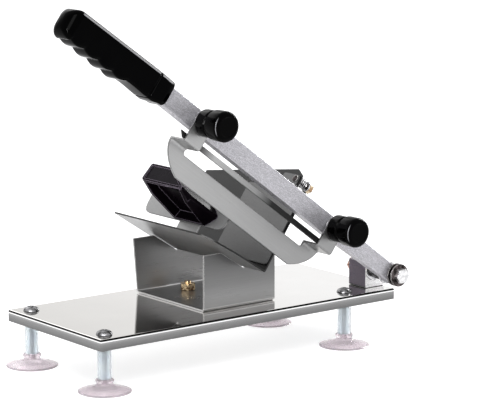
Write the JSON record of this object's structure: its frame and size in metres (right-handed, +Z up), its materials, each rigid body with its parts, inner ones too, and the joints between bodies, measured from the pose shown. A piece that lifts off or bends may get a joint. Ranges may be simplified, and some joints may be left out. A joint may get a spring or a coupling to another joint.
{
  "type": "frozen meat slicer",
  "caption": "Hand slicer: a hinged lever arm carries a clamped blade down past the end of a V trough with a sliding press plate, on a folded base plate with suction feet.",
  "frame": {"origin": "centre of the front left suction cup's flat underside, on the table", "axes": "+X along the base plate from the feet at the handle's end towards the pivot, +Y from the blade's side to the back, +Z up"},
  "size_m": [0.3864, 0.2128, 0.3425],
  "materials": {
    "mirror_steel": "polished stainless steel",
    "brushed_steel": "brushed stainless steel",
    "satin_plate": "satin stainless steel",
    "blade_steel": "ground blade steel",
    "aluminium": "fine brushed aluminium",
    "chrome": "bright plated steel",
    "yellow_zinc": "yellow zinc plated steel",
    "copper_plating": "brown copper plated steel",
    "black_plastic": "glossy black moulded plastic",
    "clear_blue_sleeve": "pale blue translucent plastic",
    "lilac_rubber": "pale lilac translucent soft vinyl"
  },
  "bodies": {
    "base": {"base_plate": "mirror_steel", "leg_screw_front_left": "chrome", "leg_screw_front_right": "chrome", "leg_screw_back_left": "chrome", "leg_screw_back_right": "chrome", "leg_sleeve_front_left": "clear_blue_sleeve", "leg_sleeve_front_right": "clear_blue_sleeve", "leg_sleeve_back_left": "clear_blue_sleeve", "leg_sleeve_back_right": "clear_blue_sleeve", "suction_cup_front_left": "lilac_rubber", "suction_cup_front_right": "lilac_rubber", "suction_cup_back_left": "lilac_rubber", "suction_cup_back_right": "lilac_rubber", "stand": "brushed_steel", "stand_bolt_front": "yellow_zinc", "stand_bolt_back": "yellow_zinc", "stand_nut_front": "yellow_zinc", "stand_nut_back": "yellow_zinc", "trough": "brushed_steel", "guide_plate": "satin_plate", "adjust_bolt": "chrome", "adjust_spring": "chrome", "pivot_block": "aluminium", "block_screw_front": "aluminium", "block_screw_back": "aluminium", "pivot_bolt": "chrome", "pivot_nut": "copper_plating", "pivot_washer_front": "chrome", "pivot_ring": "black_plastic", "pivot_washer_outer": "chrome", "pivot_washer_inner": "chrome", "pivot_washer_block": "chrome", "pivot_spring": "chrome"},
    "arm": {"arm": "aluminium", "grip": "black_plastic", "blade": "blade_steel", "support_bar": "brushed_steel", "stud_upper": "chrome", "stud_lower": "chrome", "stud_nut_upper": "chrome", "stud_nut_lower": "chrome", "stud_spring_upper": "chrome", "stud_spring_lower": "chrome"},
    "pusher": {"press_plate": "satin_plate", "hand_block": "black_plastic", "pusher_runner": "brushed_steel", "pusher_screw_near": "chrome", "pusher_screw_far": "chrome"},
    "knob_washer_upper": {"knob_washer_upper": "chrome"},
    "knob_upper": {"knob_upper": "black_plastic"},
    "knob_washer_lower": {"knob_washer_lower": "chrome"},
    "knob_lower": {"knob_lower": "black_plastic"},
    "adjust_washer": {"adjust_washer": "chrome"},
    "adjust_nut": {"adjust_nut": "yellow_zinc"}
  },
  "joints": [
    {"name": "arm_hinge", "type": "hinge", "parent": "base", "child": "arm", "pos_m": [0.312, -0.0265, 0.069], "axis": [0, 1, 0], "range_deg": [-36, 53]},
    {"name": "pusher_slide", "type": "slide", "parent": "base", "child": "pusher", "axis": [0.8387, 0, -0.5446], "range_m": [-0.012, 0.038]},
    {"name": "knob_upper_lift", "type": "slide", "parent": "arm", "child": "knob_washer_upper", "axis": [0, -1, 0], "range_m": [0, 0.011]},
    {"name": "knob_upper_turn", "type": "hinge", "parent": "knob_washer_upper", "child": "knob_upper", "pos_m": [0.08221, -0.04, 0.23592], "axis": [0, -1, 0], "range_deg": [0, 3960]},
    {"name": "knob_lower_lift", "type": "slide", "parent": "arm", "child": "knob_washer_lower", "axis": [0, -1, 0], "range_m": [0, 0.011]},
    {"name": "knob_lower_turn", "type": "hinge", "parent": "knob_washer_lower", "child": "knob_lower", "pos_m": [0.23234, -0.04, 0.12442], "axis": [0, -1, 0], "range_deg": [0, 3960]},
    {"name": "adjust_nut_lift", "type": "slide", "parent": "base", "child": "adjust_washer", "axis": [0.8192, 0, -0.5736], "range_m": [0, 0.0032]},
    {"name": "adjust_nut_turn", "type": "hinge", "parent": "adjust_washer", "child": "adjust_nut", "pos_m": [0.23117, 0.0025, 0.15686], "axis": [0.8192, 0, -0.5736], "range_deg": [0, 1440]}
  ],
  "couplings": [
    {"joint": "knob_upper_lift", "follows": "knob_upper_turn", "m_per_rad": 0.00015915},
    {"joint": "knob_lower_lift", "follows": "knob_lower_turn", "m_per_rad": 0.00015915},
    {"joint": "adjust_nut_turn", "follows": "adjust_nut_lift", "rad_per_m": 7854}
  ]
}
